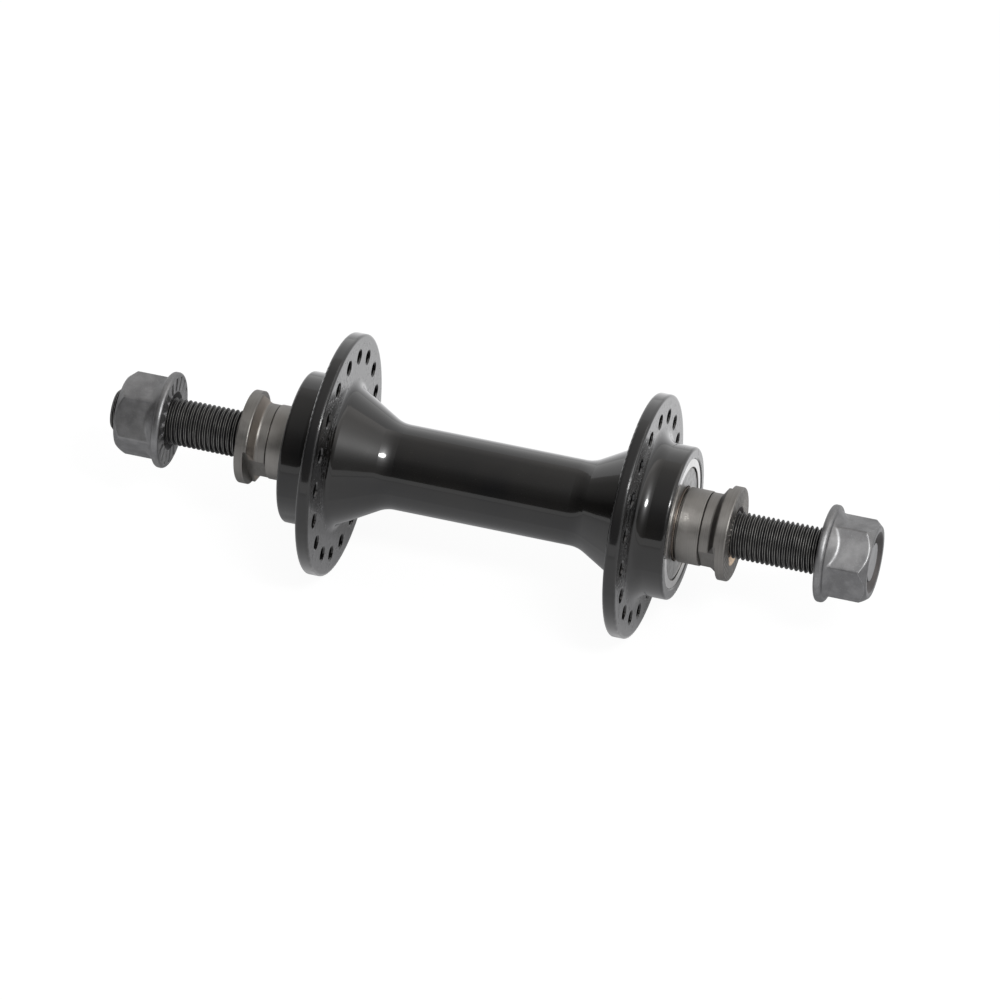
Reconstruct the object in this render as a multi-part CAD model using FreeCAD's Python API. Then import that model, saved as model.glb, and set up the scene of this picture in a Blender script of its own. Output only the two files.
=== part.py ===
"""Front wheel hub for a small bicycle: alloy shell, two sealed bearings, solid threaded axle and nuts.

Millimetres. The origin is the centre of the hub, the axle lies along Y and +Z is up.
Each piece is written to its own STEP file in parts/.
"""
import FreeCAD, Part
import math
import os

from FreeCAD import Vector

# Layout along the axle
over_locknuts = 100.0
axle_length = 154.9
shell_length = 78.6
bearing_recess = 0.15
left_axle_proud = 1.8
right_axle_sunk = 0.5

# Shell
barrel_diameter = 17.1
flange_spacing = 62.3
flange_thickness = 2.6
flange_diameter = 48.6
flange_rim_fillet = 0.35
flare_angle = 29.4
flare_length = 10.2
barrel_fillet = 6.3
flare_root_fillet = 2.2
boss_wall = 2.2
boss_root_fillet = 2.8
boss_edge_fillet = 0.55
sleeve_gap = 0.5
shoulder_height = 1.4
relief_depth = 3.0
relief_taper = 45.0
seat_chamfer = 0.25
seat_clearance = 0.01

# Spoke holes
spoke_count = 18
spoke_circle_diameter = 40.0
spoke_hole_diameter = 2.7
spoke_sink = 0.3

# Bearings
bearing_outer_diameter = 26.0
bearing_bore = 10.0
bearing_width = 8.0
inner_ring_wall = 2.35
outer_ring_wall = 2.25
ring_edge_fillet = 0.3
ball_diameter = 4.7625
ball_count = 7
ball_clearance = 0.05
cage_thickness = 1.3
cage_side_wall = 0.5
cage_clearance = 0.1
shield_seat_wall = 1.65
shield_seat_depth = 1.0
shield_seat_clearance = 0.02
shield_thickness = 0.35
shield_recess = 0.25
shield_shoulder = 0.2
shield_lip_width = 0.45
shield_gap = 0.2
shield_edge_fillet = 0.1

# Axle
thread_diameter = 9.35
thread_pitch = 25.4 / 26
thread_crest_share = 1 / 8
thread_flank_angle = 30.0
thread_depth_share = 0.5413
journal_clearance = 0.01
journal_chamfer = 0.2
journal_end_gap = 0.15
axle_end_chamfer = 0.95
thread_clearance = 0.05

# Spacers, centre sleeve and locknuts
sleeve_wall = 1.25
sleeve_clearance = 0.05
spacer_length = 4.95
spacer_diameter = 14.9
spacer_nose_step = 1.05
spacer_nose_length = 0.5
edge_break = 0.15
locknut_collar_diameter = 14.6
locknut_collar_fillet = 0.3
locknut_collar_length = 2.2
locknut_flange_diameter = 18.7
locknut_rim_width = 2.4
locknut_root_fillet = 0.7
locknut_rim_fillet = 0.3
locknut_flats = 13.0
locknut_flat_length = 4.1
locknut_flat_angle = -24.0
locknut_sink = 0.9
locknut_tooth_count = 36
locknut_tooth_depth = 0.22
locknut_tooth_land = 0.55

# Axle nuts
nut_height = 10.1
nut_flats = 14.7
nut_corner_radius = 0.7
nut_flange_diameter = 19.3
nut_rim_width = 1.7
nut_rim_fillet = 0.7
nut_face_fillet = 0.6
nut_cone_diameter = 17.5
nut_cone_angle = 54.0
nut_cone_fillet = 0.3
nut_cone_overlap = 0.3
nut_hexagon_fillet = 0.9
nut_end_circle_diameter = 14.2
nut_end_angle = 40.0
nut_end_land = 0.95
nut_end_fillet = 0.2
nut_face_sink = 1.2
nut_tooth_count = 18
nut_tooth_depth = 0.55
nut_tooth_land = 0.8
left_nut_angle = 33.0
right_nut_angle = 53.0

# Room that a cutter takes past the piece, and the distance at which two points count as one
over = 1.0
same_point = 0.000001

# Places and sizes that follow
AXIS = Vector(0, 1, 0)
ORIGIN = Vector(0, 0, 0)
shell_end = shell_length / 2
axle_end = axle_length / 2
flange_inner_face = (flange_spacing - flange_thickness) / 2
flange_outer_face = (flange_spacing + flange_thickness) / 2
bearing_face = shell_end - bearing_recess
bearing_back = bearing_face - bearing_width
bearing_centre = bearing_face - bearing_width / 2
bearing_radius = bearing_outer_diameter / 2
inner_ring_radius = bearing_bore / 2 + inner_ring_wall
ball_circle_radius = (bearing_outer_diameter + bearing_bore) / 4
locknut_face = over_locknuts / 2
locknut_back = bearing_face + spacer_length
sleeve_bore_radius = bearing_bore / 2 + sleeve_clearance
sleeve_radius = sleeve_bore_radius + sleeve_wall
thread_radius = thread_diameter / 2
thread_depth = thread_depth_share * thread_pitch
thread_bore_radius = thread_radius + thread_clearance


def profile_wire(corners):
    """Closed wire in the XY plane through (along, radius, fillet) corners; a fillet of 0 is sharp."""
    points = [Vector(radius, along, 0) for along, radius, _ in corners]
    count = len(points)
    starts = []
    ends = []
    arcs = []
    for i in range(count):
        here = points[i]
        fillet = corners[i][2]
        if fillet == 0:
            starts.append(here)
            ends.append(here)
            arcs.append(None)
            continue
        back = (points[i - 1] - here).normalize()
        ahead = (points[(i + 1) % count] - here).normalize()
        half = back.getAngle(ahead) / 2
        reach = fillet / math.tan(half)
        start = here + back * reach
        end = here + ahead * reach
        middle = here + (back + ahead).normalize() * (fillet / math.sin(half) - fillet)
        starts.append(start)
        ends.append(end)
        arcs.append(Part.Arc(start, middle, end).toShape())
    edges = []
    for i in range(count):
        if arcs[i] is not None:
            edges.append(arcs[i])
        following = starts[(i + 1) % count]
        if not ends[i].isEqual(following, same_point):
            edges.append(Part.makeLine(ends[i], following))
    return Part.Wire(edges)


def turned(corners):
    """Solid turned about the Y axis from (along, radius, fillet) corners."""
    return Part.Face(profile_wire(corners)).revolve(ORIGIN, AXIS, 360)


def both_sides(corners):
    """Corners of the right half, led by the same corners on the left half in reverse."""
    left = [(-along, radius, fillet) for along, radius, fillet in reversed(corners)]
    return left + corners


def moved(shape, along):
    """Copy of a shape, moved along the axle."""
    return shape.translated(Vector(0, along, 0))


def turned_by(shape, degrees):
    """Copy of a shape, turned about the axle so that +X goes towards +Z."""
    return shape.rotated(ORIGIN, AXIS, -degrees)


def mirrored(shape):
    """Copy of a shape on the other side of the hub's middle plane."""
    return shape.mirror(ORIGIN, AXIS)


def around(shape, count, first=0.0):
    """Copies of a shape spread evenly about the axle, as a compound."""
    return Part.makeCompound([turned_by(shape, first + 360 * i / count) for i in range(count)])


def radial_groove(inside, outside, depth):
    """V groove cutter of 90 degrees, sunk into a face at 0 that looks along +Y, running out along +X."""
    wide = depth + over
    corners = [
        Vector(inside, -depth, 0),
        Vector(inside, over, wide),
        Vector(inside, over, -wide),
        Vector(inside, -depth, 0),
    ]
    return Part.Face(Part.makePolygon(corners)).extrude(Vector(outside - inside, 0, 0))


def spoke_hole():
    """Cutter for one spoke hole through the right flange, sunk on both faces."""
    centre = Vector(spoke_circle_diameter / 2, 0, 0)
    hole = spoke_hole_diameter / 2
    inner = centre + AXIS * flange_inner_face
    outer = centre + AXIS * flange_outer_face
    drill = Part.makeCylinder(hole, flange_thickness + 2 * over, inner - AXIS * over, AXIS)
    inner_sink = Part.makeCone(hole + spoke_sink, hole, spoke_sink, inner, AXIS)
    outer_sink = Part.makeCone(hole + spoke_sink, hole, spoke_sink, outer, AXIS * -1)
    return drill.fuse([inner_sink, outer_sink])


def hub_shell():
    """One-piece alloy shell: barrel, two flanges with spoke holes and two bearing bosses."""
    barrel = barrel_diameter / 2
    flare_start = flange_inner_face - flare_length
    flare_top = barrel + flare_length * math.tan(math.radians(flare_angle))
    flange = flange_diameter / 2
    seat = bearing_radius + seat_clearance
    boss = bearing_radius + boss_wall
    relief = bearing_radius - shoulder_height
    relief_end = bearing_back - relief_depth
    bore = sleeve_radius + sleeve_gap
    taper_end = relief_end - (relief - bore) / math.tan(math.radians(relief_taper))
    shell = turned(both_sides([
        (flare_start, barrel, barrel_fillet),
        (flange_inner_face, flare_top, flare_root_fillet),
        (flange_inner_face, flange, flange_rim_fillet),
        (flange_outer_face, flange, flange_rim_fillet),
        (flange_outer_face, boss, boss_root_fillet),
        (shell_end, boss, boss_edge_fillet),
        (shell_end, seat + seat_chamfer, 0),
        (shell_end - seat_chamfer, seat, 0),
        (bearing_back, seat, 0),
        (bearing_back, relief, 0),
        (relief_end, relief, 0),
        (taper_end, bore, 0),
    ]))
    half_pitch = 180 / spoke_count
    right_holes = around(spoke_hole(), spoke_count, half_pitch)
    left_holes = around(mirrored(spoke_hole()), spoke_count)
    return shell.cut(right_holes).cut(left_holes)


def ball_track():
    """Ring that the balls run in, a running clearance larger than the balls."""
    return Part.makeTorus(ball_circle_radius, ball_diameter / 2 + ball_clearance, ORIGIN, AXIS)


def outer_ring():
    """Outer ring of a bearing, with a step at each end that a shield sits in."""
    end = bearing_width / 2
    step = end - shield_seat_depth
    seat = bearing_radius - shield_seat_wall
    land = bearing_radius - outer_ring_wall
    ring = turned(both_sides([
        (step, land, 0),
        (step, seat, 0),
        (end, seat, 0),
        (end, bearing_radius, ring_edge_fillet),
    ]))
    return ring.cut(ball_track())


def inner_ring():
    """Inner ring of a bearing."""
    end = bearing_width / 2
    ring = turned(both_sides([
        (end, bearing_bore / 2, ring_edge_fillet),
        (end, inner_ring_radius, 0),
    ]))
    return ring.cut(ball_track())


def ball_ring(radius):
    """Spheres of one radius at the places of the balls."""
    place = Vector(ball_circle_radius, 0, 0)
    return around(Part.makeSphere(radius, place, Vector(1, 0, 0)), ball_count)


def cage():
    """Ring with a pocket for each ball."""
    end = ball_diameter / 2 + cage_side_wall
    inside = ball_circle_radius - cage_thickness / 2
    outside = ball_circle_radius + cage_thickness / 2
    ring = turned([(-end, inside, 0), (-end, outside, 0), (end, outside, 0), (end, inside, 0)])
    return ring.cut(ball_ring(ball_diameter / 2 + cage_clearance))


def shield():
    """Thin shield of a bearing's outboard side, with a lip that seats in the outer ring's step."""
    outer_plane = bearing_width / 2 - shield_recess
    inner_plane = outer_plane - shield_thickness
    step = bearing_width / 2 - shield_seat_depth
    seat = bearing_radius - shield_seat_wall - shield_seat_clearance
    disc = seat - shield_shoulder
    lip = seat - shield_lip_width
    inside = inner_ring_radius + shield_gap
    return turned([
        (inner_plane, inside, 0),
        (outer_plane, inside, 0),
        (outer_plane, disc, shield_edge_fillet),
        (inner_plane, disc, 0),
        (inner_plane, seat, 0),
        (step, seat, 0),
        (step, lip, 0),
        (inner_plane, lip, 0),
    ])


def thread_ridges(start, end):
    """Corners of a row of 60 degree thread ridges between two places along the axle, root to root."""
    root = thread_radius - thread_depth
    flank = thread_depth * math.tan(math.radians(thread_flank_angle))
    crest = thread_crest_share * thread_pitch
    corners = []
    for i in range(int((end - start) / thread_pitch)):
        along = start + i * thread_pitch
        corners.append((along, root, 0))
        corners.append((along + flank, thread_radius, 0))
        corners.append((along + flank + crest, thread_radius, 0))
        corners.append((along + 2 * flank + crest, root, 0))
    return corners


def axle():
    """Solid axle: plain journal through the bearings and a threaded length at each end."""
    root = thread_radius - thread_depth
    journal = bearing_bore / 2 - journal_clearance
    journal_end = bearing_face - journal_end_gap
    ridges = thread_ridges(journal_end + thread_pitch / 2, axle_end)
    side = [(journal_end, journal, journal_chamfer), (journal_end, root, 0)] + ridges
    body = turned(both_sides(side + [(axle_end, root, 0), (axle_end, 0, 0)]))
    end_radius = thread_radius - axle_end_chamfer
    widest = max(journal, thread_radius) + over
    envelope = turned(both_sides([
        (axle_end - (widest - end_radius), widest, 0),
        (axle_end, end_radius, 0),
        (axle_end, 0, 0),
    ]))
    return body.common(envelope)


def inner_sleeve():
    """Tube that keeps the two inner rings apart inside the shell."""
    return turned(both_sides([
        (bearing_back, sleeve_radius, edge_break),
        (bearing_back, sleeve_bore_radius, 0),
    ]))


def spacer():
    """Right spacer, whose nose bears on the inner ring."""
    outside = spacer_diameter / 2
    nose = inner_ring_radius - spacer_nose_step
    shoulder = bearing_face + spacer_nose_length
    return turned([
        (bearing_face, thread_bore_radius, 0),
        (bearing_face, nose, 0),
        (shoulder, nose, 0),
        (shoulder, outside, edge_break),
        (locknut_back, outside, edge_break),
        (locknut_back, thread_bore_radius, 0),
    ])


def locknut():
    """Right locknut: collar, flared flange, two wrench flats and a toothed, countersunk face."""
    collar = locknut_collar_diameter / 2
    flange = locknut_flange_diameter / 2
    flare_foot = locknut_back + locknut_collar_length
    rim_back = locknut_face - locknut_rim_width
    sink = thread_bore_radius + locknut_sink
    body = turned([
        (locknut_back, thread_bore_radius, 0),
        (locknut_back, collar, locknut_collar_fillet),
        (flare_foot, collar, locknut_root_fillet),
        (rim_back, flange, locknut_rim_fillet),
        (locknut_face, flange, locknut_rim_fillet),
        (locknut_face, sink, 0),
        (locknut_face - locknut_sink, thread_bore_radius, 0),
    ])
    clear = flange + over
    block = Part.makeBox(clear, locknut_flat_length + over, 2 * clear)
    block.translate(Vector(locknut_flats / 2, locknut_back - over, -clear))
    body = body.cut(around(block, 2, locknut_flat_angle))
    groove = radial_groove(sink, flange - locknut_tooth_land, locknut_tooth_depth)
    return body.cut(around(moved(groove, locknut_face), locknut_tooth_count))


def hexagon_prism(start, end):
    """Hexagonal prism along the axle with rounded corners and a flat that faces +X."""
    sides = 6
    corner = nut_flats / 2 / math.cos(math.pi / sides)
    points = []
    for i in range(sides + 1):
        angle = (2 * i + 1) * math.pi / sides
        points.append(Vector(corner * math.cos(angle), start, corner * math.sin(angle)))
    prism = Part.Face(Part.makePolygon(points)).extrude(AXIS * (end - start))
    long_edges = [edge for edge in prism.Edges if edge.BoundBox.YLength > (end - start) / 2]
    return prism.makeFillet(nut_corner_radius, long_edges)


def axle_nut():
    """Flanged hexagon nut with its toothed bearing face at 0 and its hexagon towards +Y."""
    flange = nut_flange_diameter / 2
    cone_foot = nut_cone_diameter / 2
    cone_top = nut_flats / 2 - nut_cone_overlap
    cone_end = nut_rim_width + (cone_foot - cone_top) * math.tan(math.radians(nut_cone_angle))
    skirt = turned([
        (0, 0, 0),
        (0, flange, nut_face_fillet),
        (nut_rim_width, flange, nut_rim_fillet),
        (nut_rim_width, cone_foot, nut_cone_fillet),
        (cone_end, cone_top, 0),
        (cone_end, 0, 0),
    ])
    widest = flange + over
    end_circle = nut_end_circle_diameter / 2
    end_sink = end_circle - nut_end_land
    face_sink = thread_bore_radius + nut_face_sink
    envelope = turned([
        (0, face_sink, 0),
        (0, widest, 0),
        (nut_height - (widest - end_circle) / math.tan(math.radians(nut_end_angle)), widest, 0),
        (nut_height, end_circle, nut_end_fillet),
        (nut_height, end_sink, nut_end_fillet),
        (nut_height - (end_sink - thread_bore_radius), thread_bore_radius, 0),
        (nut_face_sink, thread_bore_radius, 0),
    ])
    body = skirt.fuse(hexagon_prism(nut_rim_width / 2, nut_height))
    seams = [edge for edge in body.Edges if not isinstance(edge.Curve, (Part.Line, Part.Circle))]
    body = body.makeFillet(nut_hexagon_fillet, seams)
    groove = mirrored(radial_groove(face_sink, flange - nut_tooth_land, nut_tooth_depth))
    return body.common(envelope).cut(around(groove, nut_tooth_count))


def pieces():
    """All pieces by name, in their places."""
    found = {
        "hub_shell": hub_shell(),
        "axle": axle(),
        "inner_sleeve": inner_sleeve(),
    }
    bearing = {
        "outer_ring": outer_ring(),
        "inner_ring": inner_ring(),
        "balls": ball_ring(ball_diameter / 2),
        "ball_cage": cage(),
        "outer_shield": shield(),
        "inner_shield": mirrored(shield()),
    }
    side = {name: moved(shape, bearing_centre) for name, shape in bearing.items()}
    side["spacer"] = spacer()
    side["locknut"] = locknut()
    for name, shape in side.items():
        found["left_" + name] = mirrored(shape)
        found["right_" + name] = shape
    nut = axle_nut()
    left_nut_end = -axle_end + left_axle_proud
    right_nut_end = axle_end + right_axle_sunk
    found["left_axle_nut"] = moved(turned_by(mirrored(nut), left_nut_angle), left_nut_end + nut_height)
    found["right_axle_nut"] = moved(turned_by(nut, right_nut_angle), right_nut_end - nut_height)
    return found


os.makedirs("parts", exist_ok=True)
for node, shape in pieces().items():
    shape.exportStep("parts/" + node + ".step")
    box = shape.BoundBox
    print(node, "solids", len(shape.Solids), "valid", shape.isValid(), "volume", round(shape.Volume, 2),
          "from", round(box.YMin, 2), "to", round(box.YMax, 2))
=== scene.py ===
import math

import bmesh
import bpy
from mathutils import Matrix, Vector


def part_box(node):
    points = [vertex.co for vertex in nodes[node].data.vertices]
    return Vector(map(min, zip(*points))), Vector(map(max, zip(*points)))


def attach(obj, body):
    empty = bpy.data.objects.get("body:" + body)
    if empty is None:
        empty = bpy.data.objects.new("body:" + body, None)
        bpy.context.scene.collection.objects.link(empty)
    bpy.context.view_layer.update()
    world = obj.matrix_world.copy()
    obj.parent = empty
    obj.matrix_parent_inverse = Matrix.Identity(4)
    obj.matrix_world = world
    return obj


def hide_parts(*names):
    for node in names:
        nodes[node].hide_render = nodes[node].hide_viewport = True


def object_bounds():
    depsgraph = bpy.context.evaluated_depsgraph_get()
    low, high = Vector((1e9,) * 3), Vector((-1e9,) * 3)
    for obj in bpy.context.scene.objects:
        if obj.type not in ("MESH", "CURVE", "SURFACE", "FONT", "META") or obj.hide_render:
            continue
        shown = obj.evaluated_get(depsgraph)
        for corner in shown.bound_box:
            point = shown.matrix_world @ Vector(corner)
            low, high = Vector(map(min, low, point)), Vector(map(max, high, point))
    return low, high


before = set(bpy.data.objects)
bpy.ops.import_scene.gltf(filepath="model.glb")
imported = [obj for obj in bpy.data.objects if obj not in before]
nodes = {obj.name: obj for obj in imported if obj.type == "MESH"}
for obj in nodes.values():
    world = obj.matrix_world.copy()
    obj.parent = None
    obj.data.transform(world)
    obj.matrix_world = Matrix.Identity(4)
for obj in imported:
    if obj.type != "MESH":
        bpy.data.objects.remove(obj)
cad_low, cad_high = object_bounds()
scene = bpy.context.scene

# Sizes of the axle in metres, as in the part's source
THREAD_PITCH = 0.0254 / 26
THREAD_RADIUS = 0.004675
THREAD_DEPTH = 0.5413 * THREAD_PITCH
THREAD_CREST = THREAD_PITCH / 8
THREAD_FLANK = THREAD_DEPTH * math.tan(math.radians(30))
JOURNAL_RADIUS = 0.00499
JOURNAL_END = 0.039
JOURNAL_CHAMFER = 0.0002
THREAD_START = JOURNAL_END - JOURNAL_CHAMFER
AXLE_END = 0.07745
END_CHAMFER = 0.00095

# Sizes of the shell, the locknuts and the axle nuts in metres, where their materials change
FLANGE_RADIUS = 0.0243
BOSS_END = 0.0375
LOCKNUT_FACE = 0.05
LOCKNUT_SINK = 0.0009
LOCKNUT_COLLAR_LENGTH = 0.0022
LOCKNUT_COLLAR_RADIUS = 0.0073
LOCKNUT_RIM_WIDTH = 0.0024
NUT_END_SINK_RADIUS = 0.00615
NUT_FACE_SINK = 0.0012

# Where the materials blend over: pairs are the start and the end of a smooth step
COAT_RIM_STEP = (FLANGE_RADIUS - 0.0012, FLANGE_RADIUS - 0.0004)
COAT_FACE_STEP = (FLANGE_RADIUS - 0.0008, FLANGE_RADIUS - 0.0016)
COAT_TURNED_STEP = (FLANGE_RADIUS - 0.0002, FLANGE_RADIUS - 0.0001)
COAT_BOSS_STEP = (BOSS_END, BOSS_END + 0.0005)
MIDDLE_STEP = (-0.001, 0.001)
LOCKNUT_FLARE_BLEND = 0.0002
LOCKNUT_RIM_BLEND = 0.0003
LOCKNUT_JOINT_SHADE_REACH = (0.0003, 0.00018)
LOCKNUT_DEEP_STEP = (LOCKNUT_FACE - LOCKNUT_SINK * 1.2, LOCKNUT_FACE - LOCKNUT_SINK)
LOCKNUT_SINK_SHADE_STEP = (THREAD_RADIUS + LOCKNUT_SINK, THREAD_RADIUS + LOCKNUT_SINK * 0.9)
LOCKNUT_GLINT_STEP = (THREAD_RADIUS + LOCKNUT_SINK * 1.9, THREAD_RADIUS + LOCKNUT_SINK * 1.4)
NUT_SINK_REACH = (0.003, 0.002)
NUT_SINK_BLEND = 0.0001
THREAD_STEP = (THREAD_START, THREAD_START + 0.0001)
AXLE_SAWN_STEP = (AXLE_END - 0.00004, AXLE_END - 0.00001)
SHIELD_DIRT_REACH = (0.00042, 0.00022)

# Tones of the materials, from their darker to their lighter patches
COAT_TONES = ((0.0026, 0.0026, 0.003), (0.006, 0.0055, 0.005))
TURNED_TONES = ((0.18, 0.173, 0.163), (0.25, 0.24, 0.227))
FORGED_TONES = ((0.16, 0.16, 0.163), (0.255, 0.255, 0.258))
OXIDE_TONES = ((0.007, 0.007, 0.008), (0.016, 0.0155, 0.015))
GROUND_TONES = ((0.82, 0.815, 0.805), (0.95, 0.945, 0.935))
SHIELD_TONES = ((0.27, 0.27, 0.266), (0.48, 0.48, 0.475))
BRASS_TONES = ((0.42, 0.26, 0.09), (0.66, 0.46, 0.19))
ALLOY_TONES = ((0.58, 0.585, 0.59), (0.74, 0.745, 0.75))

# Layers on top of them in places: a tone, and the share that it covers at most
COAT_SPECK = ((0.12, 0.12, 0.125), 0.35)
COAT_DUST = ((0.2, 0.2, 0.2), 0.25)
COAT_TURNED = ((0.6, 0.6, 0.62), 0.008)
COAT_WORN = ((0.13, 0.13, 0.135), 1.0)
TURNED_LINES = ((0.285, 0.275, 0.262), 1.0)
TURNED_STAIN = ((0.085, 0.077, 0.068), 0.35)
TURNED_EDGE = ((0.5, 0.48, 0.45), 0.32)
LOCKNUT_JOINT_SHADE = ((0.03, 0.028, 0.025), 0.85)
LOCKNUT_SINK_SHADE = ((0.045, 0.04, 0.04), 0.9)
LOCKNUT_GLINT = ((0.95, 0.74, 0.54), 0.9)
FORGED_GRAIN = ((0.33, 0.33, 0.335), 1.0)
FORGED_EDGE_WEAR_AND_HIGHLIGHT = ((0.65, 0.65, 0.66), 0.45)
NUT_END_SINK_SHADE = ((0.07, 0.062, 0.06), 0.75)
NUT_FACE_SINK_SHADE = ((0.03, 0.03, 0.03), 0.55)
THREAD_WEAR_AND_HIGHLIGHT = ((0.26, 0.257, 0.25), 1.0)
AXLE_SAWN = ((0.27, 0.27, 0.275), 1.0)
GROUND_EDGE_WEAR_AND_GLINT = ((0.9, 0.83, 0.72), 0.6)
SHIELD_DIRT = ((0.035, 0.033, 0.03), 0.85)

# Painted shade on the flares of the left and the right locknut, much darker on the right one
LOCKNUT_FLARE_SHADES = ((0.34, 0.3, 0.265), (0.045, 0.042, 0.04))
LOCKNUT_FLARE_SHADE_SHARE = 0.82

# Roughness of the bright and of the dark races, and the shade on their tones; the inner rings' darker tone
# is painted shade
BRIGHT_RACE = ((0.07, 0.16), (1.0, 1.0, 1.0))
SHADED_RACE = ((0.34, 0.48), (0.17, 0.14, 0.12))

# Roughness of the other finishes, from their smoother to their rougher patches
COAT_SMEARS = (0.09, 0.17)
TURNED_ROUGHNESS = (0.42, 0.52)
FORGED_ROUGHNESS = (0.4, 0.52)
OXIDE_ROUGHNESS = (0.36, 0.48)
SHIELD_ROUGHNESS = (0.28, 0.42)
BRASS_ROUGHNESS = (0.26, 0.4)
ALLOY_ROUGHNESS = (0.24, 0.4)

# Usual ranges of a noise's values
NOISE_RANGE = (0.3, 0.7)
CLOUD_RANGE = (0.3, 0.72)
LINE_RANGE = (0.3, 0.75)

# Relief and edges of the finishes in metres
SPECK_HEIGHT = 0.00006
COAT_RELIEF = 0.00001
FORGED_RELIEF = 0.000012
OXIDE_RELIEF = 0.000008
FINE_RELIEF = 0.000006
GROUND_RELIEF = 0.000003
RIM_ROUNDING = 0.0008
BOSS_ROUNDING = 0.0004
FORGED_ROUNDING = 0.00045
COAT_EDGE_WIDTH = 0.0003
FORGED_EDGE_WIDTH = 0.00014
FINE_EDGE_WIDTH = 0.0001
ROUNDING_SAMPLES = 8
EDGE_ALIGNMENT = (0.995, 0.9)

# Other measures of the finishes; lines on the thread are in pitches
COAT_IOR = 1.35
COAT_ROUGHNESS = 0.035
OXIDE_IOR = 1.25
BRIGHT_LINE_WIDTH = 0.07
ROOT_LINE_SHIFT = 0.07
GLINT_FORWARD = 0.5
GLINT_DOWN = 0.86
GLINT_ALIGNMENT = (0.84, 0.95)
SPACER_LEVEL = 0.95
LOCKNUT_LEVEL = 0.8

# Directions from the hub towards the lamp and the camera
LAMP_DIRECTION = Vector((0.411, 0.458, 0.788))
CAMERA_BACK = Vector((0.7147, 0.2156, 0.6653)).normalized()
CAMERA_RIGHT = Vector((-0.2889, 0.9574, 0.0)).normalized()


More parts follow.
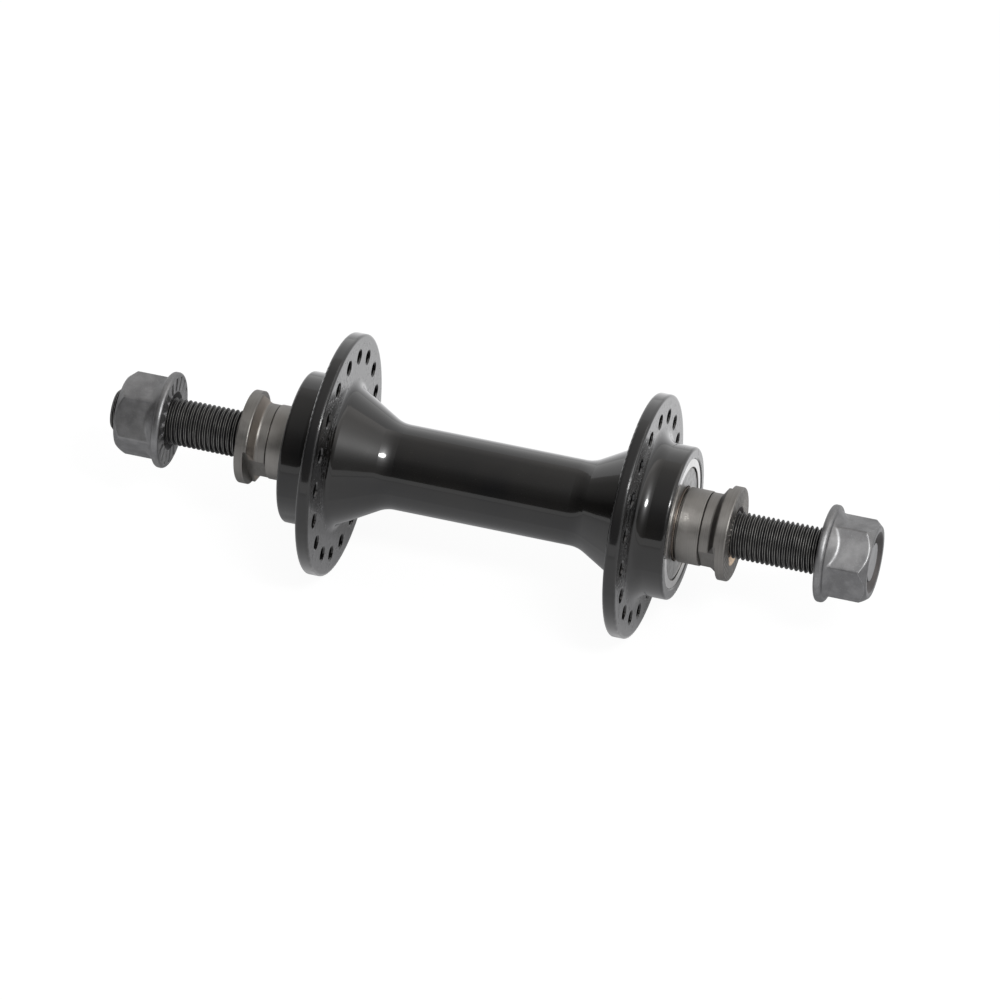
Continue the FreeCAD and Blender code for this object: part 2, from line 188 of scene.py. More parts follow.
# Shader nodes
class Look:
    """A material under construction: makes nodes, joins them and sets their values."""

    def __init__(self, name):
        self.material = bpy.data.materials.new(name)
        self.material.use_nodes = True
        self.tree = self.material.node_tree
        self.shader = self.tree.nodes["Principled BSDF"]
        self.output = self.tree.nodes["Material Output"]

    def put(self, socket, value):
        """Link a socket to another one, or give it a plain value."""
        if isinstance(value, bpy.types.NodeSocket):
            self.tree.links.new(value, socket)
        else:
            socket.default_value = value

    def node(self, kind, settings=(), **values):
        """A node with its settings, and with inputs put by name."""
        made = self.tree.nodes.new(kind)
        for key, value in dict(settings).items():
            setattr(made, key, value)
        for key, value in values.items():
            self.put(made.inputs[key.replace("_", " ")], value)
        return made

    def listed(self, kind, settings, *values):
        """A node with its settings, and with inputs put in their order."""
        made = self.node(kind, settings)
        for socket, value in zip(made.inputs, values):
            self.put(socket, value)
        return made

    def math(self, operation, *values):
        """The result of a sum or function of values."""
        return self.listed("ShaderNodeMath", {"operation": operation}, *values).outputs[0]

    def product(self, total, *others):
        """All the values multiplied together."""
        for other in others:
            total = self.math("MULTIPLY", total, other)
        return total

    def dot(self, first, second):
        """How far two directions agree."""
        made = self.listed("ShaderNodeVectorMath", {"operation": "DOT_PRODUCT"}, first, second)
        return made.outputs["Value"]

    def axes(self, vector):
        """The X, Y and Z parts of a place or direction."""
        return self.node("ShaderNodeSeparateXYZ", Vector=vector).outputs

    def place(self):
        """Point on the piece in the row frame, in metres."""
        return self.node("ShaderNodeTexCoord").outputs["Object"]

    def facing(self):
        """The piece's own surface direction."""
        return self.node("ShaderNodeTexCoord").outputs["Normal"]

    def along(self, place):
        """Distance from the hub's centre along its axle."""
        return self.math("ABSOLUTE", self.axes(place)["Y"])

    def lathe_place(self):
        """A place made of the distance from the axle's line and the place along it, and that distance."""
        x, y, z = self.axes(self.place())
        radius = self.math("SQRT", self.math("ADD", self.product(x, x), self.product(z, z)))
        return self.node("ShaderNodeCombineXYZ", X=radius, Y=y).outputs[0], radius

    def noise(self, place, scale, detail=2.0, roughness=0.5):
        """Soft noise; its scale is in patches to the metre."""
        made = self.node("ShaderNodeTexNoise", Vector=place, Scale=scale, Detail=detail, Roughness=roughness)
        return made.outputs["Fac"]

    def ramp(self, value, low, high, out_low=0.0, out_high=1.0):
        """A smooth step between two outputs, as the value goes from low to high."""
        made = self.node("ShaderNodeMapRange", {"interpolation_type": "SMOOTHSTEP"}, Value=value,
                         From_Min=low, From_Max=high, To_Min=out_low, To_Max=out_high)
        return made.outputs[0]

    def mix(self, share, first, second):
        """A colour between two colours or tones."""
        made = self.node("ShaderNodeMix", {"data_type": "RGBA"})
        self.put(made.inputs["Factor"], share)
        for name, value in (("A", first), ("B", second)):
            socket = [s for s in made.inputs if s.name == name and s.type == "RGBA"][0]
            self.put(socket, (*value, 1.0) if isinstance(value, tuple) else value)
        return [s for s in made.outputs if s.type == "RGBA"][0]

    def tint(self, colour, layer, *masks):
        """The colour with a layer on top, where all the masks let it through."""
        tone, share = layer
        return self.mix(self.product(*masks, share), colour, tone)

    def bump(self, height, depth, strength=1.0, normal=None):
        """Surface direction with a relief on it, whose depth is in metres."""
        made = self.node("ShaderNodeBump", Height=height, Distance=depth, Strength=strength)
        if normal is not None:
            self.put(made.inputs["Normal"], normal)
        return made.outputs[0]

    def rounded(self, radius):
        """Surface direction with the piece's edges rounded off."""
        return self.node("ShaderNodeBevel", {"samples": ROUNDING_SAMPLES}, Radius=radius).outputs[0]

    def edges(self, radius):
        """1 along the piece's own edges, from how far a rounded surface direction leaves the true one."""
        true = self.node("ShaderNodeNewGeometry").outputs["Normal"]
        return self.ramp(self.dot(self.rounded(radius), true), *EDGE_ALIGNMENT)

    def finish(self, colour, roughness, normal, metallic=0.0, ior=1.5):
        """Put the colour and finish on the material's standard shader."""
        for name, value in (("Base Color", colour), ("Roughness", roughness), ("Normal", normal),
                            ("Metallic", metallic), ("IOR", ior)):
            self.put(self.shader.inputs[name], value)
        return self.material

    def added(self, first, second):
        """Two shaders on top of each other."""
        return self.listed("ShaderNodeAddShader", {}, first, second).outputs[0]

    def surface(self, shader):
        """Take another shader than the standard one, and don't sample its glow as a lamp."""
        self.tree.nodes.remove(self.shader)
        self.put(self.output.inputs["Surface"], shader)
        self.material.cycles.emission_sampling = "NONE"
        return self.material


# Materials
def black_coat():
    """Hard gloss black in two clear layers: fine bumps on the flange faces, worn rims, a little dust."""
    look = Look("black_coat")
    place = look.place()
    lathe, radius = look.lathe_place()
    cloud = look.noise(place, 90.0, 5.0)
    outermost = look.ramp(radius, *COAT_RIM_STEP)
    inward = look.ramp(radius, *COAT_FACE_STEP)
    side = look.math("ABSOLUTE", look.axes(look.facing())["Y"])
    face = look.product(look.ramp(side, 0.9, 0.97), inward)
    grain = look.ramp(look.noise(place, 1300.0, 3.0, 0.6), 0.5, 0.68)
    clumps = look.ramp(look.noise(place, 400.0, 3.0, 0.6), 0.42, 0.56)
    specks = look.product(grain, clumps, face)
    dust = look.product(look.ramp(look.noise(place, 1500.0, 2.0), 0.76, 0.83), look.ramp(cloud, 0.45, 0.6))
    turned = look.ramp(radius, *COAT_TURNED_STEP)
    wear = look.ramp(look.noise(place, 700.0, 3.0), 0.3, 0.6, 0.65, 1.0)
    colour = look.mix(look.ramp(cloud, 0.35, 0.7), *COAT_TONES)
    colour = look.tint(colour, COAT_SPECK, specks)
    colour = look.tint(colour, COAT_DUST, dust)
    colour = look.tint(colour, COAT_TURNED, turned)
    colour = look.tint(colour, COAT_WORN, look.edges(COAT_EDGE_WIDTH), outermost, wear)
    smears = look.ramp(look.noise(place, 150.0, 6.0, 0.6), 0.4, 0.75, *COAT_SMEARS)
    roughness = look.math("ADD", smears, look.product(specks, 0.2))
    waves = look.noise(place, 420.0, 2.0)
    lines = look.noise(lathe, 5200.0, 3.0)
    height = look.math("ADD", waves, look.product(lines, 0.05))
    boss_rounding = look.ramp(look.along(place), *COAT_BOSS_STEP, 0.0, BOSS_ROUNDING)
    rounded = look.rounded(look.math("ADD", look.product(outermost, RIM_ROUNDING), boss_rounding))
    pimpled = look.bump(specks, SPECK_HEIGHT, 1.0, rounded)
    for name, value in (("Coat Normal", look.bump(waves, COAT_RELIEF, 0.3, pimpled)), ("Coat Weight", 1.0),
                        ("Coat IOR", COAT_IOR), ("Coat Roughness", COAT_ROUGHNESS)):
        look.put(look.shader.inputs[name], value)
    return look.finish(colour, roughness, look.bump(height, COAT_RELIEF, 0.4, pimpled), 0.0, COAT_IOR)


def shaded(tone, shade):
    """A tone made darker by the shade of each of its parts."""
    return tuple(part * share for part, share in zip(tone, shade))


def turned_lines(look):
    """Fine rings from turning, and the distance from the axle's line."""
    lathe, radius = look.lathe_place()
    return look.noise(lathe, 9000.0, 4.0, 0.6), radius


def turned_colour(look, place, lines, level):
    """Warm grey of turned steel, with fine lines, stains and brighter edges."""
    shade = (level, level, level)
    cloud = look.noise(place, 300.0, 5.0, 0.6)
    stains = look.ramp(look.noise(place, 900.0, 4.0, 0.7), 0.6, 0.78)
    line_tone, line_share = TURNED_LINES
    colour = look.mix(look.ramp(cloud, *CLOUD_RANGE), *(shaded(tone, shade) for tone in TURNED_TONES))
    colour = look.tint(colour, (shaded(line_tone, shade), line_share), look.ramp(lines, *LINE_RANGE))
    colour = look.tint(colour, TURNED_STAIN, stains)
    return look.tint(colour, TURNED_EDGE, look.edges(FINE_EDGE_WIDTH))


def turned_finish(look, place, lines, colour):
    """Gloss and fine relief of turned steel."""
    roughness = look.ramp(look.noise(place, 600.0, 4.0), *NOISE_RANGE, *TURNED_ROUGHNESS)
    height = look.math("ADD", lines, look.product(look.noise(place, 4500.0, 3.0), 0.5))
    return look.finish(colour, roughness, look.bump(height, FINE_RELIEF, 0.6), 1.0)


def spacer_steel():
    """Turned steel of the spacers."""
    look = Look("spacer_steel")
    place = look.place()
    lines, _ = turned_lines(look)
    return turned_finish(look, place, lines, turned_colour(look, place, lines, SPACER_LEVEL))


def locknut_steel():
    """Turned steel of the locknuts: painted shade on the flares, darkest on the right one, in the sinks and
    in the joint at the foot, and a painted golden glint in the sinks.
    """
    look = Look("locknut_steel")
    place = look.place()
    lines, radius = turned_lines(look)
    x, y, z = look.axes(place)
    along = look.math("ABSOLUTE", y)
    back = min(abs(corner[1]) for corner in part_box("right_locknut"))
    foot = back + LOCKNUT_COLLAR_LENGTH
    rim = LOCKNUT_FACE - LOCKNUT_RIM_WIDTH
    flare = look.product(look.ramp(along, foot - LOCKNUT_FLARE_BLEND, foot + LOCKNUT_FLARE_BLEND),
                         look.ramp(along, rim, rim - LOCKNUT_RIM_BLEND),
                         look.ramp(radius, LOCKNUT_COLLAR_RADIUS,
                                   LOCKNUT_COLLAR_RADIUS + LOCKNUT_FLARE_BLEND))
    joint_shade = look.ramp(along, *(back + reach for reach in LOCKNUT_JOINT_SHADE_REACH))
    deep = look.ramp(along, *LOCKNUT_DEEP_STEP)
    shaded_inside = look.ramp(radius, *LOCKNUT_SINK_SHADE_STEP)
    glint_ring = look.ramp(radius, *LOCKNUT_GLINT_STEP)
    down = look.math("SUBTRACT", look.product(x, GLINT_FORWARD), look.product(z, GLINT_DOWN))
    glint_side = look.ramp(look.math("DIVIDE", down, radius), *GLINT_ALIGNMENT)
    flare_shade_tone = look.mix(look.ramp(y, *MIDDLE_STEP), *LOCKNUT_FLARE_SHADES)
    colour = turned_colour(look, place, lines, LOCKNUT_LEVEL)
    # Painted shade on the flares, deepest on the right locknut
    colour = look.tint(colour, (flare_shade_tone, LOCKNUT_FLARE_SHADE_SHARE), flare)
    # Painted shade in the joint between the locknut's back face and the spacer
    colour = look.tint(colour, LOCKNUT_JOINT_SHADE, joint_shade)
    # Painted shade in the sink round the thread
    colour = look.tint(colour, LOCKNUT_SINK_SHADE, deep, shaded_inside)
    # Painted highlight: a golden glint on the lower front side of the sink
    colour = look.tint(colour, LOCKNUT_GLINT, deep, glint_ring, glint_side)
    return turned_finish(look, place, lines, colour)


def forged_steel(nut):
    """Forged and blasted steel of the axle nuts: grey, even grain, soft edges, painted shade in the sinks at
    both ends.
    """
    look = Look(nut + "_steel")
    face, end = sorted(abs(corner[1]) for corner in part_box(nut))
    place = look.place()
    along = look.along(place)
    _, radius = look.lathe_place()
    cloud = look.noise(place, 220.0, 6.0, 0.6)
    grain = look.noise(place, 5200.0, 4.0, 0.65)
    pits = look.node("ShaderNodeTexVoronoi", Vector=place, Scale=2100.0).outputs["Distance"]
    end_sink = look.product(look.ramp(along, *(end - reach for reach in NUT_SINK_REACH)),
                            look.ramp(radius, NUT_END_SINK_RADIUS, NUT_END_SINK_RADIUS - NUT_SINK_BLEND))
    face_sink_radius = THREAD_RADIUS + NUT_FACE_SINK
    face_sink = look.product(look.ramp(along, *(face + reach for reach in NUT_SINK_REACH)),
                             look.ramp(radius, face_sink_radius + NUT_SINK_BLEND, face_sink_radius))
    colour = look.mix(look.ramp(cloud, *CLOUD_RANGE), *FORGED_TONES)
    colour = look.tint(colour, FORGED_GRAIN, look.ramp(grain, 0.55, 0.8))
    # Lighter edges: partly wear, partly painted highlight
    colour = look.tint(colour, FORGED_EDGE_WEAR_AND_HIGHLIGHT, look.edges(FORGED_EDGE_WIDTH))
    # Painted shade in the sinks at the nut's end and at its bearing face
    colour = look.tint(colour, NUT_END_SINK_SHADE, end_sink)
    colour = look.tint(colour, NUT_FACE_SINK_SHADE, face_sink)
    roughness = look.ramp(look.noise(place, 480.0, 4.0), *NOISE_RANGE, *FORGED_ROUGHNESS)
    roughness = look.math("ADD", roughness, look.product(face_sink, 0.3))
    height = look.math("ADD", grain, look.product(look.ramp(pits, 0.25, 0.05), -0.8))
    height = look.math("ADD", height, look.product(cloud, 2.0))
    normal = look.bump(height, FORGED_RELIEF, 0.5, look.rounded(FORGED_ROUNDING))
    return look.finish(colour, roughness, normal, 1.0)


def black_oxide():
    """Blackened steel of the axle: dark threads, a thin bright line on crests and roots that is partly wear
    and partly painted highlight, bare sawn ends.
    """
    look = Look("black_oxide")
    place = look.place()
    x, y, z = look.axes(place)
    side = look.math("SIGN", y)
    along = look.math("ABSOLUTE", y)
    cloud = look.noise(place, 380.0, 5.0, 0.6)
    turn = look.math("DIVIDE", look.product(look.math("ARCTAN2", x, z), side), 2 * math.pi)
    pitches = look.math("DIVIDE", look.math("SUBTRACT", along, THREAD_START), THREAD_PITCH)
    crest_centre = (THREAD_FLANK + THREAD_CREST / 2) / THREAD_PITCH
    phase = look.math("SUBTRACT", look.math("SUBTRACT", pitches, turn), crest_centre)
    crest = look.math("FRACT", look.math("ADD", phase, 0.5))
    root = look.math("FRACT", look.math("ADD", phase, look.product(side, ROOT_LINE_SHIFT)))
    lines = [look.ramp(look.math("ABSOLUTE", look.math("SUBTRACT", line, 0.5)), BRIGHT_LINE_WIDTH, BRIGHT_LINE_WIDTH / 2)
             for line in (crest, root)]
    threaded = look.ramp(along, *THREAD_STEP)
    patches = look.ramp(look.noise(place, 700.0, 5.0, 0.65), 0.3, 0.6, 0.5, 1.0)
    worn = look.product(look.math("MAXIMUM", *lines), threaded, patches)
    end = look.ramp(along, *AXLE_SAWN_STEP)
    colour = look.mix(look.ramp(cloud, *NOISE_RANGE), *OXIDE_TONES)
    # Bright lines on crests and roots: partly wear, partly painted highlight
    colour = look.tint(colour, THREAD_WEAR_AND_HIGHLIGHT, worn)
    colour = look.tint(colour, AXLE_SAWN, end)
    roughness = look.ramp(cloud, *NOISE_RANGE, *OXIDE_ROUGHNESS)
    normal = look.bump(look.noise(place, 6000.0, 3.0), OXIDE_RELIEF, 0.5)
    return look.finish(colour, roughness, normal, look.math("MAXIMUM", worn, end), OXIDE_IOR)


def ground_steel(name, roughness_range, shade):
    """Ground bearing steel, with fine rings from grinding."""
    look = Look(name)
    place = look.place()
    lathe, _ = look.lathe_place()
    lines = look.noise(lathe, 12000.0, 3.0, 0.6)
    cloud = look.noise(place, 320.0, 4.0)
    colour = look.mix(look.ramp(cloud, *NOISE_RANGE), *(shaded(tone, shade) for tone in GROUND_TONES))
    # Pale golden edges: partly wear, partly a painted glint
    colour = look.tint(colour, GROUND_EDGE_WEAR_AND_GLINT, look.edges(FINE_EDGE_WIDTH))
    roughness = look.ramp(lines, *LINE_RANGE, *roughness_range)
    return look.finish(colour, roughness, look.bump(lines, GROUND_RELIEF, 0.5), 1.0)


def pressed_steel():
    """Thin pressed shields: matte and mottled grey, with grease dirt along their outer edge."""
    look = Look("pressed_steel")
    place = look.place()
    lathe, radius = look.lathe_place()
    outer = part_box("right_outer_shield")[1][0]
    mottle = look.noise(place, 900.0, 5.0, 0.65)
    lines = look.noise(lathe, 6000.0, 3.0)
    colour = look.mix(look.ramp(mottle, 0.32, 0.7), *SHIELD_TONES)
    dirt = look.ramp(radius, *(outer - reach for reach in SHIELD_DIRT_REACH))
    colour = look.tint(colour, SHIELD_DIRT, dirt)
    roughness = look.ramp(look.noise(place, 500.0, 4.0), *NOISE_RANGE, *SHIELD_ROUGHNESS)
    height = look.math("ADD", look.product(mottle, 1.5), lines)
    return look.finish(colour, roughness, look.bump(height, FINE_RELIEF, 0.6), 1.0)


def pressed_brass():
    """Pressed brass of the ball cages, a little dulled by grease."""
    look = Look("pressed_brass")
    place = look.place()
    cloud = look.noise(place, 500.0, 5.0, 0.6)
    colour = look.mix(look.ramp(cloud, *NOISE_RANGE), *BRASS_TONES)
    roughness = look.ramp(cloud, *NOISE_RANGE, *BRASS_ROUGHNESS)
    return look.finish(colour, roughness, look.bump(look.noise(place, 4000.0, 3.0), FINE_RELIEF, 0.5), 1.0)


def turned_alloy():
    """Bare turned alloy of the centre sleeve."""
    look = Look("turned_alloy")
    lathe, _ = look.lathe_place()
    lines = look.noise(lathe, 7000.0, 4.0, 0.6)
    cloud = look.noise(look.place(), 260.0, 4.0)
    colour = look.mix(look.ramp(cloud, *NOISE_RANGE), *ALLOY_TONES)
    roughness = look.ramp(lines, *LINE_RANGE, *ALLOY_ROUGHNESS)
    return look.finish(colour, roughness, look.bump(lines, FINE_RELIEF, 0.6), 1.0)


def dress(material, *names):
    """Give the named CAD nodes a material."""
    for name in names:
        slots = nodes[name].data.materials
        slots.clear()
        slots.append(material)


oxide = black_oxide()
dress(black_coat(), "hub_shell")
dress(oxide, "axle")
dress(turned_alloy(), "inner_sleeve")
dress(spacer_steel(), "left_spacer", "right_spacer")
dress(locknut_steel(), "left_locknut", "right_locknut")
for nut in ("left_axle_nut", "right_axle_nut"):
    dress(forged_steel(nut), nut)
dress(ground_steel("race_steel", *BRIGHT_RACE), "left_outer_ring", "right_outer_ring", "left_balls",
      "right_balls")
# The inner rings: the same ground steel, rougher and darkened with painted shade
dress(ground_steel("shaded_race_steel", *SHADED_RACE), "left_inner_ring", "right_inner_ring")
dress(pressed_steel(), "left_outer_shield", "right_outer_shield", "left_inner_shield", "right_inner_shield")
dress(pressed_brass(), "left_ball_cage", "right_ball_cage")


# Axle with true screw threads
SECTORS = 72
SHARP_ANGLE = math.radians(25)
CHAMFER_RINGS = 8
TURNS_BEFORE = 2
TURNS_SPARE = 5


def ring_point(radius, along, step):
    """Point at a step round the Y axis, turning from +Z towards +X."""
    angle = 2 * math.pi * step / SECTORS
    return Vector((radius * math.sin(angle), along, radius * math.cos(angle)))


def cut(mesh, along, keep_below=None):
    """Cut a mesh with a plane across the Y axis; what lies on the other side of keep_below goes."""
    geometry = mesh.verts[:] + mesh.edges[:] + mesh.faces[:]
    bmesh.ops.bisect_plane(mesh, geom=geometry, plane_co=(0, along, 0), plane_no=(0, 1, 0),
                           clear_outer=keep_below is True, clear_inner=keep_below is False)


def threaded_end():
    """One threaded end of the axle as a closed mesh: a right-hand helix, chamfered at its outer end."""
    root = THREAD_RADIUS - THREAD_DEPTH
    profile = ((0.0, root), (THREAD_FLANK, THREAD_RADIUS), (THREAD_FLANK + THREAD_CREST, THREAD_RADIUS),
               (2 * THREAD_FLANK + THREAD_CREST, root))
    mesh = bmesh.new()
    rows = []
    for turn in range(int((AXLE_END - THREAD_START) / THREAD_PITCH) + TURNS_SPARE):
        for offset, radius in profile:
            along = THREAD_START + (turn - TURNS_BEFORE) * THREAD_PITCH + offset
            rows.append([mesh.verts.new(ring_point(radius, along + THREAD_PITCH * step / SECTORS, step))
                         for step in range(SECTORS)])
    count = len(profile)
    for i in range(len(rows) - count - 1):
        lower = rows[i] + [rows[i + count][0]]
        upper = rows[i + 1] + [rows[i + count + 1][0]]
        for step in range(SECTORS):
            mesh.faces.new((lower[step], lower[step + 1], upper[step + 1], upper[step]))
    reach = THREAD_DEPTH + END_CHAMFER
    for ring in range(CHAMFER_RINGS):
        cut(mesh, AXLE_END - reach * (ring + 1) / CHAMFER_RINGS)
    cut(mesh, AXLE_END, True)
    cut(mesh, THREAD_START, False)
    for vertex in mesh.verts:
        radius = math.hypot(vertex.co.x, vertex.co.z)
        most = THREAD_RADIUS - END_CHAMFER + AXLE_END - vertex.co.y
        if radius > most:
            vertex.co.x *= most / radius
            vertex.co.z *= most / radius
    bmesh.ops.holes_fill(mesh, edges=[edge for edge in mesh.edges if edge.is_boundary], sides=0)
    bmesh.ops.recalc_face_normals(mesh, faces=mesh.faces[:])
    return mesh


def axle_mesh():
    """Journal and both threaded ends."""
    end = threaded_end()
    made = bpy.data.meshes.new("threaded_axle")
    end.to_mesh(made)
    whole = bmesh.new()
    whole.from_mesh(made)
    end.transform(Matrix.Rotation(math.pi, 4, "Z"))
    end.to_mesh(made)
    whole.from_mesh(made)
    end.free()
    corner = JOURNAL_RADIUS - JOURNAL_CHAMFER
    outline = ((-JOURNAL_END, corner), (-THREAD_START, JOURNAL_RADIUS), (THREAD_START, JOURNAL_RADIUS),
               (JOURNAL_END, corner))
    rings = [[whole.verts.new(ring_point(radius, along, step)) for step in range(SECTORS)]
             for along, radius in outline]
    for ring, following in zip(rings, rings[1:]):
        for step in range(SECTORS):
            ahead = (step + 1) % SECTORS
            whole.faces.new((ring[step], ring[ahead], following[ahead], following[step]))
    whole.faces.new(list(reversed(rings[0])))
    whole.faces.new(rings[-1])
    whole.to_mesh(made)
    whole.free()
    made.polygons.foreach_set("use_smooth", [True] * len(made.polygons))
    made.set_sharp_from_angle(angle=SHARP_ANGLE)
    made.update()
    return made


def linked(name, data):
    """A new object in the scene."""
    made = bpy.data.objects.new(name, data)
    scene.collection.objects.link(made)
    return made


threaded_axle = linked("threaded_axle", axle_mesh())
threaded_axle.data.materials.append(oxide)
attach(threaded_axle, "axle_assembly")
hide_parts("axle")


# Stage
def ray_share(tree, *kinds):
    """1 for rays of the kinds that are named."""
    path = tree.nodes.new("ShaderNodeLightPath")
    total = path.outputs["Is " + kinds[0] + " Ray"]
    for kind in kinds[1:]:
        largest = tree.nodes.new("ShaderNodeMath")
        largest.operation = "MAXIMUM"
        tree.links.new(total, largest.inputs[0])
        tree.links.new(path.outputs["Is " + kind + " Ray"], largest.inputs[1])
        total = largest.outputs[0]
    return total


def plain_object(name, corners, faces):
    """A flat-shaded object from corners and faces."""
    mesh = bpy.data.meshes.new(name)
    mesh.from_pydata(corners, [], faces)
    mesh.update()
    return linked(name, mesh)


def turned_to(right, up, back, spot):
    """Matrix of an object at a spot, from the directions of its own axes."""
    return Matrix.Translation(spot) @ Matrix((right, up, back)).transposed().to_4x4()


# Floor: white to the eye, grey in the hub's reflections with a painted shadow darkest below it, and with the
# hub's own soft shadow
FLOOR_HALF = 12.0
FLOOR_GAP = 0.00002
FLOOR_SHADOW_HALF = 0.03
FLOOR_GLOW_SEEN = 0.93
FLOOR_SHADOW_GLOW = 0.12
FLOOR_GLOW_BESIDE = 0.35
FLOOR_SEEN = (0.1, 0.1, 0.1)
FLOOR_SHADOW_TONE = (0.36, 0.36, 0.37)
FLOOR_BESIDE = (0.5, 0.5, 0.51)


def floor_white():
    """The floor's glow and colour for each kind of ray, clear from below."""
    look = Look("floor_white")
    seen = ray_share(look.tree, "Camera", "Transmission")
    mirrored = ray_share(look.tree, "Glossy")
    aside = look.math("ABSOLUTE", look.axes(look.place())["X"])
    # Painted shadow under the hub, seen only in reflections
    reflected = look.mix(look.ramp(aside, 0.0, FLOOR_SHADOW_HALF), FLOOR_SHADOW_TONE, FLOOR_BESIDE)
    lit = look.node("ShaderNodeBsdfDiffuse", Color=look.mix(seen, reflected, FLOOR_SEEN))
    mirrored_glow = look.product(mirrored, look.ramp(aside, 0.0, FLOOR_SHADOW_HALF, FLOOR_SHADOW_GLOW,
                                                     FLOOR_GLOW_BESIDE))
    glow = look.math("ADD", look.product(seen, FLOOR_GLOW_SEEN), mirrored_glow)
    shine = look.node("ShaderNodeEmission", Color=(1.0, 1.0, 1.0, 1.0), Strength=glow)
    below = look.node("ShaderNodeNewGeometry").outputs["Backfacing"]
    clear = look.node("ShaderNodeBsdfTransparent").outputs[0]
    above = look.added(lit.outputs[0], shine.outputs[0])
    return look.surface(look.listed("ShaderNodeMixShader", {}, below, above, clear).outputs[0])


floor_height = cad_low.z - FLOOR_GAP
floor_corners = [(x * FLOOR_HALF, y * FLOOR_HALF, floor_height)
                 for x, y in ((-1, -1), (1, -1), (1, 1), (-1, 1))]
floor = plain_object("floor", floor_corners, [(0, 1, 2, 3)])
floor.data.materials.append(floor_white())

# Studio shade: a dark curved panel in front of and above the hub, seen only in its reflections.
# It is paler towards the hub's right end, and has a soft bright surround at the lamp.
SHADE_RADIUS = 1.3
SHADE_HALF_LENGTH = 8.0
SHADE_START = 11.0
SHADE_END = 140.0
SHADE_STEPS = 60
SHADE_LEAN = 0.9
SHADE_MOST = 1.7
SHADE_WARMTH = (1.0, 0.975, 0.95)
HALO_DIRECTION = (LAMP_DIRECTION + Vector((-0.06, 0.0, 0.04))).normalized()
HALO_LEVEL = 10.0
HALO_SPREAD = 0.17
# Brightness of the panel at angles from the floor in front of the hub, in degrees
SHADE_STOPS = ((11, 0.18), (20, 0.15), (30, 0.1), (50, 0.1), (59, 0.17), (67, 0.28), (75, 0.37), (83, 0.46),
               (92, 0.56), (105, 0.69), (120, 0.75), (130, 0.92), (140, 1.0))
HALF_TURN = 180.0


def shade_grey():
    """The panel's glow: by the angle from the floor, by the place along the hub, and round the lamp."""
    look = Look("shade_grey")
    place = look.place()
    x, _, z = look.axes(place)
    turn = look.math("DEGREES", look.math("ARCTAN2", z, x))
    fade = look.node("ShaderNodeValToRGB", Fac=look.math("DIVIDE", turn, HALF_TURN))
    stops = fade.color_ramp.elements
    while len(stops) < len(SHADE_STOPS):
        stops.new(0.5)
    for element, (angle, level) in zip(stops, SHADE_STOPS):
        element.position = angle / HALF_TURN
        element.color = (*(level * part for part in SHADE_WARMTH), 1.0)
    direction = look.node("ShaderNodeVectorMath", {"operation": "NORMALIZE"}, Vector=place).outputs[0]
    away = look.math("ARCCOSINE", look.dot(direction, HALO_DIRECTION))
    halo = look.product(look.math("EXPONENT", look.math("DIVIDE", away, -HALO_SPREAD)), HALO_LEVEL)
    sideways = look.axes(direction)["Y"]
    lean = look.math("MINIMUM", look.math("EXPONENT", look.product(sideways, SHADE_LEAN)), SHADE_MOST)
    shine = look.node("ShaderNodeEmission", Color=fade.outputs["Color"], Strength=lean)
    bloom = look.node("ShaderNodeEmission", Strength=halo)
    return look.surface(look.added(shine.outputs[0], bloom.outputs[0]))


shade_corners = []
shade_faces = []
for step in range(SHADE_STEPS + 1):
    angle = math.radians(SHADE_START + (SHADE_END - SHADE_START) * step / SHADE_STEPS)
    x, z = SHADE_RADIUS * math.cos(angle), SHADE_RADIUS * math.sin(angle)
    shade_corners += [(x, -SHADE_HALF_LENGTH, z), (x, SHADE_HALF_LENGTH, z)]
    if step:
        shade_faces.append((2 * step - 2, 2 * step - 1, 2 * step + 1, 2 * step))
shade = plain_object("studio_shade", shade_corners, shade_faces)
shade.data.materials.append(shade_grey())
shade.visible_camera = False
shade.visible_diffuse = False
shade.visible_transmission = False
shade.visible_volume_scatter = False
shade.visible_shadow = False

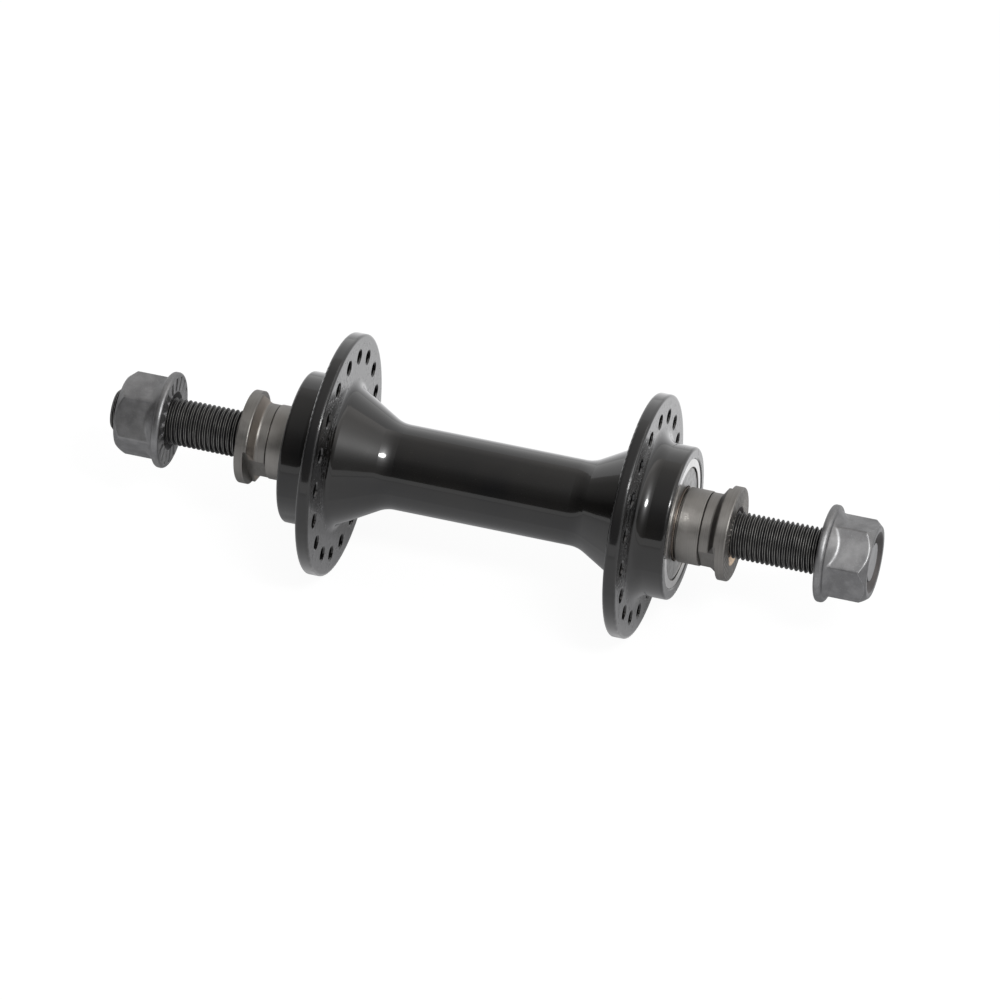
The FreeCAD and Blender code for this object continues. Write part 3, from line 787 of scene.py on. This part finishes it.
# World: soft even light, white to the eye and in reflections
WORLD_LIGHT = 0.68
WORLD_SEEN = 1.0
world = bpy.data.worlds.new("studio")
scene.world = world
world.use_nodes = True
background = world.node_tree.nodes["Background"]
level = world.node_tree.nodes.new("ShaderNodeMapRange")
white = ray_share(world.node_tree, "Camera", "Glossy", "Transmission")
world.node_tree.links.new(white, level.inputs["Value"])
level.inputs["To Min"].default_value = WORLD_LIGHT
level.inputs["To Max"].default_value = WORLD_SEEN
background.inputs["Color"].default_value = (1.0, 1.0, 1.0, 1.0)
world.node_tree.links.new(level.outputs[0], background.inputs["Strength"])
world.cycles.sampling_method = "NONE"

# Oval softbox above and to the right of the camera
LAMP_DISTANCE = 0.9
LAMP_LENGTH = 0.34
LAMP_HEIGHT = 0.17
LAMP_POWER = 3.8
lamp_data = bpy.data.lights.new("softbox", "AREA")
lamp_data.shape = "ELLIPSE"
lamp_data.size = LAMP_LENGTH
lamp_data.size_y = LAMP_HEIGHT
lamp_data.energy = LAMP_POWER
lamp = linked("softbox", lamp_data)
lamp_back = LAMP_DIRECTION.normalized()
lamp_up = lamp_back.cross(Vector((0, 1, 0))).normalized()
lamp_right = lamp_up.cross(lamp_back).normalized()
lamp.matrix_world = turned_to(lamp_right, lamp_up, lamp_back, lamp_back * LAMP_DISTANCE)

# Camera
CAMERA_DISTANCE = 1.5916
CAMERA_SIDE = 0.001928
CAMERA_DROP = 0.002915
CAMERA_ROLL = math.radians(0.1)
CAMERA_SENSOR = 36
CAMERA_LENS = 292.5
CAMERA_REACH = 30
level_up = CAMERA_BACK.cross(CAMERA_RIGHT).normalized()
camera_right = CAMERA_RIGHT * math.cos(CAMERA_ROLL) + level_up * math.sin(CAMERA_ROLL)
camera_up = CAMERA_BACK.cross(camera_right).normalized()
camera_spot = CAMERA_BACK * CAMERA_DISTANCE + camera_right * CAMERA_SIDE - camera_up * CAMERA_DROP
camera_data = bpy.data.cameras.new("camera")
camera_data.sensor_width = CAMERA_SENSOR
camera_data.lens = CAMERA_LENS
camera_data.clip_end = CAMERA_REACH
camera = linked("camera", camera_data)
camera.matrix_world = turned_to(camera_right, camera_up, CAMERA_BACK, camera_spot)
scene.camera = camera
scene.view_settings.view_transform = "Standard"
